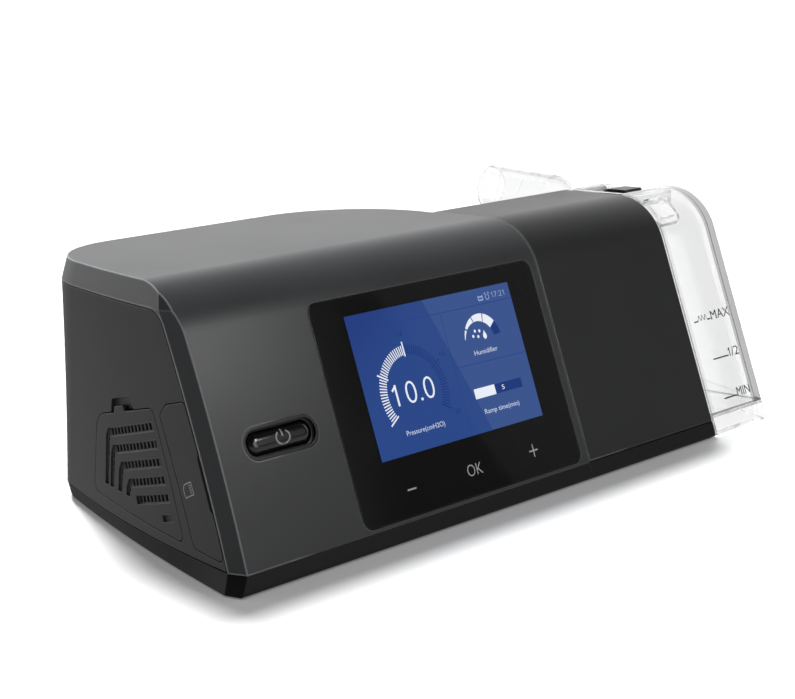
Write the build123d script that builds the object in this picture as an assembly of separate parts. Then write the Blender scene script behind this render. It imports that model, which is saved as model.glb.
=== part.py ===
"""Bedside positive-airway-pressure machine with a clip-on humidifier, in millimetres.

Working frame: x runs along the machine from the left end, y runs back from the front foot
line, z is up from the table. The finished solids are moved so that the origin is the centre
of the footprint. The front face leans back, so sizes on it are given as (x, rise), where
rise is measured up the leaning face and depth is measured square to it, into the machine.
"""

from build123d import *
import os
from math import atan2, cos, radians, sin

# ---------------------------------------------------------------- driving dimensions
# overall envelope
top_height = 105.4
front_lean = 19.0
fold_radius = 26.0
foot_radius = 1.5
seam_x = 185.7
cover_length = 89.2
tank_reach = 40.4
wall = 2.5
tray_height = 7.0
tray_floor = 2.5
lift = 0.6
seam_gap = 0.5
seam_depth = 0.8

# left end and back of the main unit
left_start = -7.64
left_sweep = 0.1346
left_curve = 0.000933
left_hollow = 1.2
crease_x = -4.0
crease_depth = 7.0
rear_depth_top = 142.0
rear_depth_foot = 168.0
rear_left_radius_top = 45.0
rear_left_radius_foot = 30.0
rear_right_radius = 50.0
band_height = 9.0
band_inset = 3.0
foot_inset = 1.0
foot_flare = 5.0

# humidifier profile
cover_top_depth = 88.6
shelf_height = 82.0
shelf_depth = 121.0
step_run = 1.0
rim_round = 1.5

# display
glass_x = 54.6
glass_rise = 9.0
glass_width = 127.2
glass_height = 86.3
glass_thickness = 1.8
glass_corner = 4.5
glass_gap = 0.15
screen_x = 71.6
screen_rise = 31.8
screen_width = 93.6
screen_height = 56.2
lcd_border = 3.0
lcd_gap = 0.2
lcd_thickness = 4.5
board_thickness = 1.6
post_radius = 2.4

# power button
button_x = 27.0
button_rise = 50.7
bezel_length = 36.0
bezel_height = 12.4
bezel_depth = 6.4
bezel_wall = 1.2
bezel_recess = 1.4
button_length = 30.6
button_height = 8.4
button_travel = 1.2
button_gap = 0.35
button_crown = 3.4
plunger_radius = 1.6
switch_size = 6.0
switch_height = 3.2

# left end: filter cover and card door
door_clearance = 0.5
slot_length = 2.0
slot_pitch = 3.1
slot_height = 2.6
groove_depth = 1.0
groove_height = 3.4
filter_seat = 9.5
filter_thickness = 4.0
ledge_width = 2.5
ledge_thickness = 3.0
tab_thickness = 1.4
hook_length = 8.0
hook_drop = 1.2
hook_thickness = 1.2
card_door_thickness = 1.5
card_pad = 1.2
card_rise = 44.0
card_depth = 21.0
card_width = 24.0
card_slot = 2.6
nail_slot = (29.9, 53.8)
nail_depth = 1.0
socket_reach = 24.0

# blower
blower_x = 108.0
blower_y = 98.0
blower_floor = 14.0
blower_height = 40.0
volute_radius = 34.0
volute_wall = 2.0
flange_width = 2.5
inlet_radius = 13.0
impeller_radius = 26.0
impeller_height = 9.0
impeller_plate = 1.4
blade_count = 11
blade_thickness = 1.2
hub_radius = 5.0
mount_radius = 5.0
shaft_radius = 1.5
shaft_clearance = 0.05
motor_radius = 14.0
motor_height = 20.0

# air port between the two halves
port_y = 70.0
port_z = 82.0
port_radius = 9.0
port_wall = 2.1
seal_flange = 1.5
duct_radius = 8.4
duct_wall = 1.5
duct_y = 76.0
duct_z = 43.6
duct_x = 142.0

# water tank
bay_clearance = 0.7
tank_wall = 2.0
end_rim = 3.6
end_gap = 0.5
floor_z = 8.4
floor_thickness = 1.2
heater_thickness = 2.0
heater_gap = 0.35
heater_length = 60.0
heater_width = 64.0
heater_x = 231.0
heater_y = 62.0
plate_lip = 1.6
seal_width = 1.5
rail_height = 8.1
grip_x = 285.0
grip_width = 15.0
grip_length = 12.0
grip_depth = 3.5
grip_angle = 53.0

# filling lid of the tank
fill_x = 281.0
fill_width = 27.0
fill_y = 58.0
fill_length = 20.0
lid_top = 102.3
lid_thickness = 2.4
lid_lap = 2.0
lid_gap = 0.5
lid_lift = 0.35
lid_plug = 2.0
plug_wall = 1.6
plug_clearance = 1.0
lid_seal_gap = 0.55
lid_pin_radius = 1.2
lid_pin_y = 85.0
lid_pin_z = 103.2
pin_clearance = 0.05
barrel_radius = 2.3
cheek_width = 3.0
hinge_length = 19.5
cheek_depth = 93.0
latch_x = 290.5
latch_y = (58.7, 73.0)
latch_width = 12.5
latch_height = 3.3
latch_travel = 2.0
latch_gap = 0.35
guide_width = 7.0
guide_length = 7.0
guide_height = 0.9

# outlet elbow
elbow_x = 284.0
elbow_y = 102.0
elbow_radius = 11.0
elbow_wall = 1.5
elbow_reach = 38.0
cuff_length = 26.0
cuff_step = 0.4
elbow_axis_z = 99.0
elbow_tilt = 4.5
elbow_lift = 2.3
spigot_clearance = 0.08
spigot_wall = 1.8
spigot_height = 9.0
elbow_seal_depth = 0.7
elbow_seal_z = (85.0, 86.6)

# power inlet
jack_x = 72.0
jack_z = 22.0
jack_bore = 3.2
jack_depth = 9.5
jack_wall = 1.8
jack_pin = 1.0
jack_body = (16.0, 10.0, 14.0)
jack_clearance = 0.1

# boards, feet and fasteners
board_x = (36.0, 166.0)
board_y = (18.0, 54.0)
board_z = 11.0
board_inset = 4.0
standoff_radius = 3.0
foot_disc_radius = 7.0
screw_radius = 1.5
screw_head_radius = 2.8
screw_head_height = 1.8
screw_recess = 0.2
board_screw_radius = 1.2
boss_radius = 4.2
boss_top = 18.0
boss_overlap = 0.6
muffler_x = (34.0, 66.0)
muffler_y = (60.0, 110.0)
muffler_top = 46.0

# ---------------------------------------------------------------- derived values
sin_lean, cos_lean = sin(radians(front_lean)), cos(radians(front_lean))
cover_x = seam_x + cover_length
tank_x = cover_x + tank_reach
fold_z = top_height - band_height
glass_mid = (glass_x + glass_width / 2, glass_rise + glass_height / 2)
screen_mid = (screen_x + screen_width / 2, screen_rise + screen_height / 2)
far = 400.0
tray_top = lift + tray_floor
split_z = blower_floor + blower_height / 2
tank_left = seam_x + wall + seal_flange + 2 * 0.4
head_x = cover_x + end_gap
deck_top = lid_top - lid_thickness - lid_lift
pocket_x = (fill_x - lid_lap - lid_gap, fill_x + fill_width + lid_lap + lid_gap)
hinge_x = (pocket_x[0] + cheek_width, pocket_x[0] + cheek_width + hinge_length)
elbow_bore = elbow_radius - elbow_wall
spigot_radius = elbow_bore - spigot_clearance


# ---------------------------------------------------------------- helpers
def solids_of(shape):
    """All solids of a piece, or of a list of like pieces."""
    return [s for item in (shape if isinstance(shape, list) else [shape]) for s in item.solids()]


def block(x, y, z):
    """A box between pairs of limits."""
    middle = Pos((x[0] + x[1]) / 2, (y[0] + y[1]) / 2, (z[0] + z[1]) / 2)
    return middle * Box(x[1] - x[0], y[1] - y[0], z[1] - z[0])


def rod(radius, start, direction, length):
    """A round bar from a start point along a direction."""
    return extrude(Plane(origin=start, z_dir=direction) * Circle(radius), length)


def post(radius, x, y, z):
    """An upright round bar between two heights."""
    return rod(radius, (x, y, z[0]), (0, 0, 1), z[1] - z[0])


def slab(z):
    """Everything between two heights."""
    return block((-far, far), (-far, far), z)


def front_yz(rise, depth=0.0):
    """(y, z) of a point on, or behind, the leaning front face."""
    return rise * sin_lean + depth * cos_lean, rise * cos_lean - depth * sin_lean


def front_plane(x, rise, depth=0.0):
    """Plane on the front face: its x along the machine, its y up the face, its z outwards."""
    y, z = front_yz(rise, depth)
    return Plane(origin=(x, y, z), x_dir=(1, 0, 0), z_dir=(0, -cos_lean, sin_lean))


def inwards(face_shape, x, rise, depth, length):
    """A flat shape on the front face, extruded into the machine from one depth."""
    return extrude(front_plane(x, rise, depth) * face_shape, -length)


def outermost_edges(shape):
    """Edges round the face of a shape that lies furthest out along the front face's normal."""
    return shape.faces().sort_by(Axis((0, 0, 0), (0, -cos_lean, sin_lean)))[-1].edges()


def rounded(points, radii):
    """A flat face through the points, with the given radius at each."""
    return make_face(FilletPolyline(*points, radius=radii, close=True))


def across(points, radii, x):
    """A (y, z) outline extruded along x between two limits."""
    face = Plane(origin=(x[0], 0, 0), x_dir=(0, 1, 0), z_dir=(1, 0, 0)) * rounded(points, radii)
    return extrude(face, x[1] - x[0])


def grown(points, grow):
    """An outline moved outwards by grow, side by side; a negative grow shrinks it."""
    ring = [Vector(*p) for p in points]
    area = sum(a.X * b.Y - b.X * a.Y for a, b in zip(ring, ring[1:] + ring[:1]))
    turn = 1 if area > 0 else -1
    moved = []
    for before, here, after in zip(ring[-1:] + ring[:-1], ring, ring[1:] + ring[:1]):
        a, b = (here - before).normalized(), (after - here).normalized()
        na, nb = Vector(a.Y, -a.X) * turn, Vector(b.Y, -b.X) * turn
        out = here + (na + nb) * (grow / (1 + na.dot(nb)))
        moved.append((out.X, out.Y))
    return moved


# ---------------------------------------------------------------- main unit surfaces
def rear_y(z):
    """Depth of the main unit's back wall, which leans in towards the top."""
    return rear_depth_foot + (rear_depth_top - rear_depth_foot) * min(z, fold_z) / fold_z


def rear_left_radius(z):
    """Rounding of the back left corner in plan, which grows towards the top."""
    return rear_left_radius_foot + (rear_left_radius_top - rear_left_radius_foot) * z / top_height


def left_slope(depth):
    return left_sweep + 2 * left_curve * depth


def left_x(y, z):
    """Left end surface: a gentle curve carried parallel to the leaning front."""
    depth = y * cos_lean - z * sin_lean
    return left_start + left_sweep * depth + left_curve * depth**2


def front_profile(x, inset=0.0, bottom=0.0):
    """The machine's side profile: leaning front and folded top, open-ended at the back."""
    toe = front_yz((bottom + inset * sin_lean) / cos_lean, inset)
    crown = front_yz((top_height - inset + inset * sin_lean) / cos_lean, inset)
    points = [toe, crown, (far, top_height - inset), (far, bottom)]
    return across(points, [max(foot_radius - inset, 0), fold_radius - inset, 0, 0], x)


def plan(z, inset=0.0, flare=0.0):
    """The main unit's outline at one height, shrunk by the inset; flare spreads its front corner."""
    back, right = rear_y(z) - inset, seam_x - inset
    corner_y = (crease_depth + z * sin_lean) / cos_lean
    mid_y = (corner_y + back) / 2
    start = Vector(left_x(corner_y, z) + inset - flare, corner_y, z)
    mid = Vector(left_x(mid_y, z) + inset, mid_y, z)
    end = Vector(left_x(back, z) + inset, back, z)
    nose_y = z * sin_lean / cos_lean - crease_depth
    nose_x = 2 * (crease_x + inset) - (left_x(corner_y, z) + inset) - 1.4 * flare
    open_x, notch_y = seam_x + wall + tank_reach, cover_top_depth - inset
    corners = [end, (right, back, z), (right, notch_y, z), (open_x, notch_y, z),
               (open_x, nose_y, z), (nose_x, nose_y, z), start]
    lines = [ThreePointArc(start, mid, end)] + [Line(a, b) for a, b in zip(corners, corners[1:])]
    face = make_face(lines)
    for at, radius in ((end, rear_left_radius(z) - inset), (corners[1], rear_right_radius - inset)):
        face = fillet(face.vertices().sort_by_distance(at)[0], radius)
    return face


def main_body(inset=0.0, bottom=0.0):
    """Solid inside the main unit's outline, shrunk by the inset on every side but the bottom."""
    shares = (0, 1 / 3, 2 / 3, 1)
    heights = [tray_height + (fold_z - tray_height) * t for t in shares]
    hollows = [left_hollow * 4 * t * (1 - t) for t in shares]
    middle = loft([plan(z, inset + h) for z, h in zip(heights, hollows)])
    band = loft([plan(fold_z, inset), plan(top_height, inset + band_inset)], ruled=True)
    share = 1 - bottom / tray_height
    low = plan(bottom, inset + foot_inset * share, foot_flare * share)
    foot = loft([low, plan(tray_height, inset)], ruled=True)
    return (foot + middle + band) & front_profile((-far, seam_x - inset), inset, bottom)


def skin(outer, depth):
    """The layer of a given thickness just under the main unit's surface."""
    return outer - main_body(depth)


def lap_zone(shift):
    """Region of the top and front cover: above the band line, or just behind the front face."""
    lap = crease_depth + shift
    corner = front_yz((fold_z - shift + lap * sin_lean) / cos_lean, lap)
    points = [front_yz(-fold_z, lap), (-far, -far), (-far, far), (far, far), (far, fold_z - shift), corner]
    return across(points, [0, 0, 0, 0, 0, 8 - shift], (-far, seam_x))


def hull(x, inset=0.0):
    """The humidifier's side profile between two x limits, shrunk by the inset on all sides."""
    points = [(0, 0), front_yz(top_height / cos_lean), (cover_top_depth, top_height),
              (cover_top_depth + step_run, shelf_height), (shelf_depth, shelf_height), (shelf_depth, 0)]
    radii = [foot_radius, fold_radius, 3.0, -4.0, 6.0, 3.0]
    kept = [max(r - inset, 0) if r > 0 else inset - r for r in radii]
    return across(grown(points, -inset), kept, x)


def screw_places():
    """Centres of the housing screws, close to the walls that carry their bosses."""
    reach = wall + boss_radius - boss_overlap
    places = [(seam_x - reach, 78.0), (131.0, rear_y(boss_top) - reach)]
    for y in (33.0, 123.0):
        places.append((left_x(y, tray_height) + reach + left_hollow / 2, y))
    return places


# ---------------------------------------------------------------- left end regions
# (y, z) outlines on the left end, in order round each piece
filter_outline = [(38.7, 11.2), (54.2, 58.2), (102.7, 46.3), (114.9, 13.4)]
filter_radii = [2.5, 3.0, 14.0, 3.0]
notch_outline = [(89.4, 48.6), (86.6, 55.8), (71.2, 59.8), (67.6, 53.6)]
tab_outline = [(86.6, 49.2), (85.2, 52.9), (77.8, 54.8), (76.4, 51.6)]
hook_places = [58.0, 96.0]
row_starts = [(93.0, 39.5), (89.9, 33.5), (84.0, 28.2), (78.3, 22.8), (73.4, 17.3)]
row_ends = [54.7, 52.9, 50.9, 49.0, 47.0]
row_tilt = atan2(0.263, 1)
leg_foot = 18.8
leg_lean = 0.3
door_outline = [(11.9, 10.2), (30.9, 64.7), (43.5, 61.4), (48.6, 56.8), (32.4, 13.8), (30.6, 11.2)]
door_radii = [2.0, 1.5, 2.0, 2.0, 1.0, 1.0]


def end_plane(outline):
    """Plane that touches the left end at an outline's middle: its x forwards, y up, z outwards."""
    y = sum(p[0] for p in outline) / len(outline)
    z = sum(p[1] for p in outline) / len(outline)
    slope = left_slope(y * cos_lean - z * sin_lean)
    along_y, along_z = slope * cos_lean, -slope * sin_lean
    return Plane(origin=(left_x(y, z), y, z), x_dir=(-along_y, -1, 0), z_dir=(-1, along_y, along_z))


def on_end(plane, points, radii=None, span=(-14.0, 8.0)):
    """A (y, z) outline on the left end as a prism square to it; span is measured outwards."""
    out = plane.z_dir
    flat = []
    for y, z in points:
        x = plane.origin.X - (out.Y * (y - plane.origin.Y) + out.Z * (z - plane.origin.Z)) / out.X
        local = plane.to_local_coords(Vector(x, y, z))
        flat.append((local.X, local.Y))
    face = plane.offset(span[0]) * rounded(flat, radii or [0] * len(flat))
    return extrude(face, span[1] - span[0])


def ring(plane, outline, radii, out, into, span):
    """A frame round an outline, between two offsets of it."""
    outside = on_end(plane, grown(outline, out), [r + out for r in radii], span)
    inside = on_end(plane, grown(outline, into), [max(r + into, 0) for r in radii], span)
    return outside - inside


def tilted(y, z, ahead, up):
    """A point moved along and above a line that runs forwards and up at the grille's tilt."""
    return y - ahead * cos(row_tilt) + up * sin(row_tilt), z + ahead * sin(row_tilt) + up * cos(row_tilt)


def strip(y, z, length, height, start=0.0, low=0.0):
    """Outline of a strip along the grille's tilt."""
    corners = [(start, low), (start + length, low), (start + length, low + height), (start, low + height)]
    return [tilted(y, z, a, b) for a, b in corners]


def grille_cuts(plane):
    """Bent grooves in the filter cover's face, and the small slots through it inside them."""
    grooves, slots = [], []
    for (y, z), end in zip(row_starts, row_ends):
        length = (y - end) / cos(row_tilt)
        grooves.append(on_end(plane, strip(y, z, length, groove_height)))
        for k in range(int(length / slot_pitch)):
            slots.append(on_end(plane, strip(y, z, slot_length, slot_height, slot_pitch * (k + 0.3), 0.4)))
    for y, z in row_starts[:4]:
        drop = z - leg_foot
        low_y = y + groove_height + leg_lean * drop
        corner = tilted(y, z, 0, groove_height)
        grooves.append(on_end(plane, [corner, (y + groove_height, z), (low_y, leg_foot),
                                      (low_y - groove_height, leg_foot), (y - 0.5, z + 0.2)]))
        for j in range(int(drop / slot_pitch)):
            top = z - slot_pitch * j - 0.6
            at = y + 0.7 + leg_lean * (z - top)
            slots.append(on_end(plane, [(at, top), (at + slot_length, top),
                                        (at + slot_length + 0.6, top - slot_length),
                                        (at + 0.6, top - slot_length)]))
    grooves.append(on_end(plane, strip(53.1, 15.4, 8.5, slot_height)))
    return grooves[0] + grooves[1:], slots


def filter_parts(outer, shell, inner):
    """Filter cover, filter, and what the housing gains and loses round them."""
    plane = end_plane(filter_outline)
    grooves, slots = grille_cuts(plane)
    cover = shell & on_end(plane, filter_outline, filter_radii)
    cover = cover - (skin(outer, groove_depth) & grooves) - slots
    cover += skin(outer, tab_thickness) & on_end(plane, tab_outline, [0.0, 0.6, 0.6, 0.0])
    pockets = []
    for y in hook_places:
        z = filter_outline[0][1] + (y - filter_outline[0][0]) * (
            filter_outline[3][1] - filter_outline[0][1]) / (filter_outline[3][0] - filter_outline[0][0])
        ends = (y - hook_length / 2, y + hook_length / 2)
        back = wall + 1.1 + hook_thickness

        def pad(low, high, grow, span):
            return on_end(plane, [(ends[0] - grow, z + low), (ends[0] - grow, z + high),
                                  (ends[1] + grow, z + high), (ends[1] + grow, z + low)], None, span)

        cover += pad(0.5, 2.5, 0, (-back, -2.0)) + pad(-hook_drop, 2.5, 0, (-back, -wall - 1.1))
        pockets.append(pad(-hook_drop - 1, 3.5, 0.6, (-back - 0.8, 0)))
    opening = on_end(plane, grown(filter_outline, door_clearance),
                     [r + door_clearance for r in filter_radii], (-filter_seat, 8))
    ledge = ring(plane, filter_outline, filter_radii, ledge_width, -ledge_width,
                 (-filter_seat - ledge_thickness, 0))
    ledge = (ledge & inner & slab((tray_height + seam_gap, far))) - pockets
    sheet = on_end(plane, grown(filter_outline, -0.4), [r - 0.4 for r in filter_radii],
                   (-filter_seat, filter_thickness - filter_seat))
    notch = skin(outer, tab_thickness + door_clearance + 0.05) & on_end(
        plane, notch_outline, [0.0, 1.5, 1.5, 0.0])
    return cover, sheet, ledge, opening + notch


def card_parts(outer, inner):
    """Card door, card socket, and what the housing gains and loses round them."""
    plane = end_plane(door_outline)

    def patch(rise, depth, length, height, taper=0.0, **where):
        low, high = rise - length / 2, rise + length / 2
        corners = [front_yz(low, depth - height / 2), front_yz(high, depth - height / 2),
                   front_yz(high - taper, depth + height / 2), front_yz(low + taper, depth + height / 2)]
        return on_end(plane, corners, **where)

    door = skin(outer, card_door_thickness) & on_end(plane, door_outline, door_radii)
    nail_mid, nail_length = sum(nail_slot) / 2, nail_slot[1] - nail_slot[0]
    door -= skin(outer, nail_depth) & patch(nail_mid, crease_depth + 1, nail_length, 2.4, 2.5)
    pocket = skin(outer, card_door_thickness + door_clearance) & on_end(
        plane, grown(door_outline, door_clearance), [r + door_clearance for r in door_radii])
    behind, plate_back = main_body(wall + card_pad), main_body(wall + card_pad + 1.5)
    pad = (inner - behind) & on_end(plane, door_outline, door_radii) & slab((tray_height + 1, far))
    slot = patch(card_rise, card_depth, card_width + 0.6, card_slot)
    flange = (behind - plate_back) & patch(card_rise, card_depth, card_width + 8, 10)
    body = behind & patch(card_rise, card_depth, card_width + 4, card_slot + 3.4,
                          span=(-socket_reach, 0))
    cavity = patch(card_rise, card_depth, card_width + 0.4, card_slot - 0.2, span=(2 - socket_reach, 2))
    return door, (flange + body) - cavity, pad, pocket + slot


# ---------------------------------------------------------------- front of the main unit
def glass_face(grow=0.0):
    return RectangleRounded(glass_width + 2 * grow, glass_height + 2 * grow, glass_corner + grow)


def lcd_face(grow):
    return Rectangle(screen_width + 2 * grow, screen_height + 2 * grow)


def front_openings(cover, inner):
    """Glass pocket, screen window and button hole in the front cover, with a stiff frame behind."""
    pocket = inwards(glass_face(glass_gap), *glass_mid, -fold_radius / 4, fold_radius / 4 + glass_thickness)
    frame = inwards(lcd_face(3.5 * lcd_border), *screen_mid, 0, wall + 1.8)
    window = inwards(lcd_face(lcd_border + lcd_gap), *screen_mid, 0, 3 * wall)
    for sx in (-1, 1):
        for sy in (-1, 1):
            at = (screen_mid[0] + sx * (screen_width / 2 + 2.6 * lcd_border),
                  screen_mid[1] + sy * (screen_height / 2 + 2.2 * lcd_border))
            frame += inwards(Circle(post_radius), *at, 0, glass_thickness + lcd_thickness)
    hole = inwards(SlotOverall(bezel_length, bezel_height), button_x, button_rise, -1, 2 * wall)
    return (cover + (frame & inner)) - pocket - window - hole


def display_parts():
    glass = inwards(glass_face(), *glass_mid, 0, glass_thickness)
    glass = chamfer(outermost_edges(glass), 0.25)
    lcd = inwards(lcd_face(lcd_border), *screen_mid, glass_thickness, lcd_thickness)
    back = glass_thickness + lcd_thickness
    board = inwards(lcd_face(3.5 * lcd_border), *screen_mid, back, board_thickness)
    for share in (-1, 0, 1):
        at = screen_mid[0] + share * screen_width / 3
        board += inwards(Rectangle(12, 9), at, screen_mid[1], back + board_thickness, 1.5)
    return glass, lcd, board


def button_parts():
    """Capsule bezel, crowned button with its plunger, and the switch on its board behind them."""
    at = (button_x, button_rise)
    floor = bezel_depth - bezel_wall
    bezel = inwards(SlotOverall(bezel_length, bezel_height), *at, 0, bezel_depth)
    bezel += inwards(SlotOverall(bezel_length + 3, bezel_height + 3), *at, wall, bezel_wall)
    bezel -= inwards(SlotOverall(bezel_length - 2 * bezel_wall, bezel_height - 2 * bezel_wall),
                     *at, 0, bezel_recess)
    bezel -= inwards(SlotOverall(button_length + 2 * button_gap, button_height + 2 * button_gap),
                     *at, 0, floor)
    bezel -= inwards(Circle(plunger_radius + button_gap), *at, 0, bezel_depth + 1)
    cap_depth = floor - button_travel - button_gap
    cap = fillet(outermost_edges(inwards(SlotOverall(button_length, button_height), *at, 0, cap_depth)),
                 button_crown)
    switch_face = bezel_depth + 1 + button_travel
    button = cap + inwards(Circle(plunger_radius), *at, cap_depth,
                           switch_face - button_travel - button_gap - cap_depth)
    board_at = switch_face + switch_height
    switch = inwards(Rectangle(switch_size, switch_size), *at, switch_face, switch_height)
    switch += inwards(Rectangle(bezel_length, bezel_height + 3), *at, board_at, board_thickness)
    for side in (-1, 1):
        leg_x = button_x + side * (bezel_length / 2 - 2.5)
        bezel += inwards(Circle(2), leg_x, button_rise, bezel_depth, board_at - bezel_depth)
    return bezel, button, switch


# ---------------------------------------------------------------- electronics and blower
def electronics():
    """Main board with its components and screws, the standoffs under it, and the power inlet."""
    board = block(board_x, board_y, (board_z, board_z + board_thickness))
    top = board_z + board_thickness
    standoffs, screws = [], []
    for x in (board_x[0] + board_inset, board_x[1] - board_inset):
        for y in (board_y[0] + board_inset, board_y[1] - board_inset):
            board -= post(board_screw_radius + 0.2, x, y, (0, far))
            hole = post(board_screw_radius, x, y, (board_z - 6, board_z))
            standoffs.append(post(standoff_radius, x, y, (tray_top, board_z)) - hole)
            screws.append(post(board_screw_radius, x, y, (board_z - 6, top))
                          + post(2 * board_screw_radius, x, y, (top, top + 1.2)))
    parts = [block((x, x + w), (y, y + d), (top, top + h)) for x, y, w, d, h in (
        (50, 24, 14, 14, 2), (72, 22, 10, 8, 6), (90, 30, 18, 16, 7), (116, 24, 8, 24, 5),
        (132, 40, 20, 7, 7), (50, 43, 16, 6, 6))]
    parts += [post(4, x, y, (top, top + 8)) for x, y in ((78, 42), (134, 28), (146, 28))]
    depth, height = jack_body[1], jack_body[2]
    end = rear_y(jack_z + jack_bore + jack_wall)
    start = end - jack_depth - 2 * jack_wall
    inlet = block((jack_x - jack_body[0] / 2, jack_x + jack_body[0] / 2), (start - depth + 2, start + 2),
                  (jack_z - height / 2, jack_z + height / 2))
    inlet += rod(jack_bore + jack_wall, (jack_x, start, jack_z), (0, 1, 0), end - start)
    inlet -= rod(jack_bore, (jack_x, end - jack_depth, jack_z), (0, 1, 0), jack_depth + 1)
    inlet += rod(jack_pin, (jack_x, end - jack_depth - 1, jack_z), (0, 1, 0), jack_depth - 1)
    stand = block((jack_x - 5, jack_x + 5), (start - depth + 3, start + 1),
                  (tray_top - 1, jack_z - height / 2))
    hole = rod(jack_bore + jack_wall + jack_clearance, (jack_x, start + 3, jack_z), (0, 1, 0), far)
    return board, parts, screws, standoffs, inlet, stand, hole


def blower_parts():
    """Two case halves, motor, shaft and impeller, the rubber mounts under them, and the air duct."""
    at = (blower_x, blower_y)
    ceiling = blower_floor + blower_height
    case = post(volute_radius, *at, (blower_floor, ceiling))
    case += post(volute_radius + flange_width, *at, (split_z - 2, split_z + 2))
    stub, bend = (blower_x, duct_y, duct_z), (duct_x, duct_y, duct_z)
    case += rod(duct_radius, stub, (1, 0, 0), duct_x - blower_x)
    room = post(volute_radius - volute_wall, *at, (blower_floor + volute_wall, ceiling - volute_wall))
    room += rod(duct_radius - duct_wall, stub, (1, 0, 0), duct_x - blower_x + 1)
    case -= room + post(inlet_radius, *at, (split_z, ceiling + 1))
    lower, upper = case - slab((split_z, far)), case - slab((-far, split_z))

    motor_floor = blower_floor + volute_wall
    motor_top = motor_floor + motor_height
    motor = post(motor_radius, *at, (motor_floor, motor_top)) - post(
        shaft_radius + shaft_clearance, *at, (motor_floor + 1.6, far))
    plate_z = motor_top + 2
    tip = plate_z + impeller_height
    shaft = post(shaft_radius, *at, (motor_floor + 2, tip))
    impeller = post(impeller_radius, *at, (plate_z, plate_z + impeller_plate))
    impeller += post(hub_radius, *at, (plate_z, tip))
    reach = impeller_radius - hub_radius - 1
    for k in range(blade_count):
        impeller += (Pos(*at, (plate_z + tip) / 2) * Rot(0, 0, 360 / blade_count * k)
                     * Pos(hub_radius + reach / 2 - 0.8, 0, 0) * Rot(0, 0, 24)
                     * Box(reach, blade_thickness, impeller_height))
    impeller -= post(shaft_radius, *at, (0, far))

    mounts = []
    for k in range(3):
        leg = Vector(volute_radius - 8, 0, 0).rotate(Axis.Z, 90 + 120 * k)
        mounts.append(post(mount_radius, blower_x + leg.X, blower_y + leg.Y, (tray_top, blower_floor)))

    end = (seam_x - wall, port_y, port_z)
    path = Bezier(bend, (duct_x + 32, duct_y, duct_z), (duct_x + 10, port_y, port_z), end)
    duct = sweep(Plane(origin=bend, z_dir=(1, 0, 0)) * Circle(duct_radius), path=path)
    duct -= sweep(Plane(origin=bend, z_dir=(1, 0, 0)) * Circle(duct_radius - duct_wall), path=path)
    seal = rod(port_radius, end, (1, 0, 0), 2 * wall)
    seal += rod(port_radius + 2, (seam_x + wall, port_y, port_z), (1, 0, 0), seal_flange)
    seal -= rod(port_radius - port_wall, (0, port_y, port_z), (1, 0, 0), far)
    return lower, upper, motor, shaft, impeller, mounts, duct, seal


# ---------------------------------------------------------------- humidifier and its tank
def right_edges(shape):
    return shape.faces().sort_by(Axis.X)[-1].edges()


def plate_outline(grow):
    return RectangleRounded(heater_length + 2 * grow, heater_width + 2 * grow, 6 + grow)


def plate_layer(grow, z):
    return extrude(Pos(heater_x, heater_y, z[0]) * plate_outline(grow), z[1] - z[0])


def humidifier_parts():
    """Housing over the tank, its base with the rails, and the heater with its insulation."""
    outer = fillet(right_edges(hull((seam_x, cover_x))), rim_round)
    room = hull((seam_x + wall, far), wall) & slab((tray_top, far))
    shell = outer - room - slab((-far, lift))
    rim = hull((seam_x, cover_x)) - hull((0, far), seam_depth)
    seams = slab((0, tray_height + seam_gap)) + block((0, seam_x + seam_gap), (-far, far), (-far, far))
    port = rod(port_radius, (seam_x - 1, port_y, port_z), (1, 0, 0), wall + 2)
    housing = shell - slab((-far, tray_height)) - (rim & seams) - port
    base = shell & slab((0, tray_height))
    for y in (heater_y - heater_width / 2 - 8, heater_y + heater_width / 2 + 8):
        base += block((seam_x + wall, cover_x - 1), (y - 1.5, y + 1.5), (tray_top - 0.5, rail_height))
    heater_top = floor_z - heater_gap
    heater = plate_layer(0, (heater_top - heater_thickness, heater_top))
    insulator = plate_layer(-2, (tray_top, heater_top - heater_thickness))
    return housing, base, heater, insulator


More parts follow.
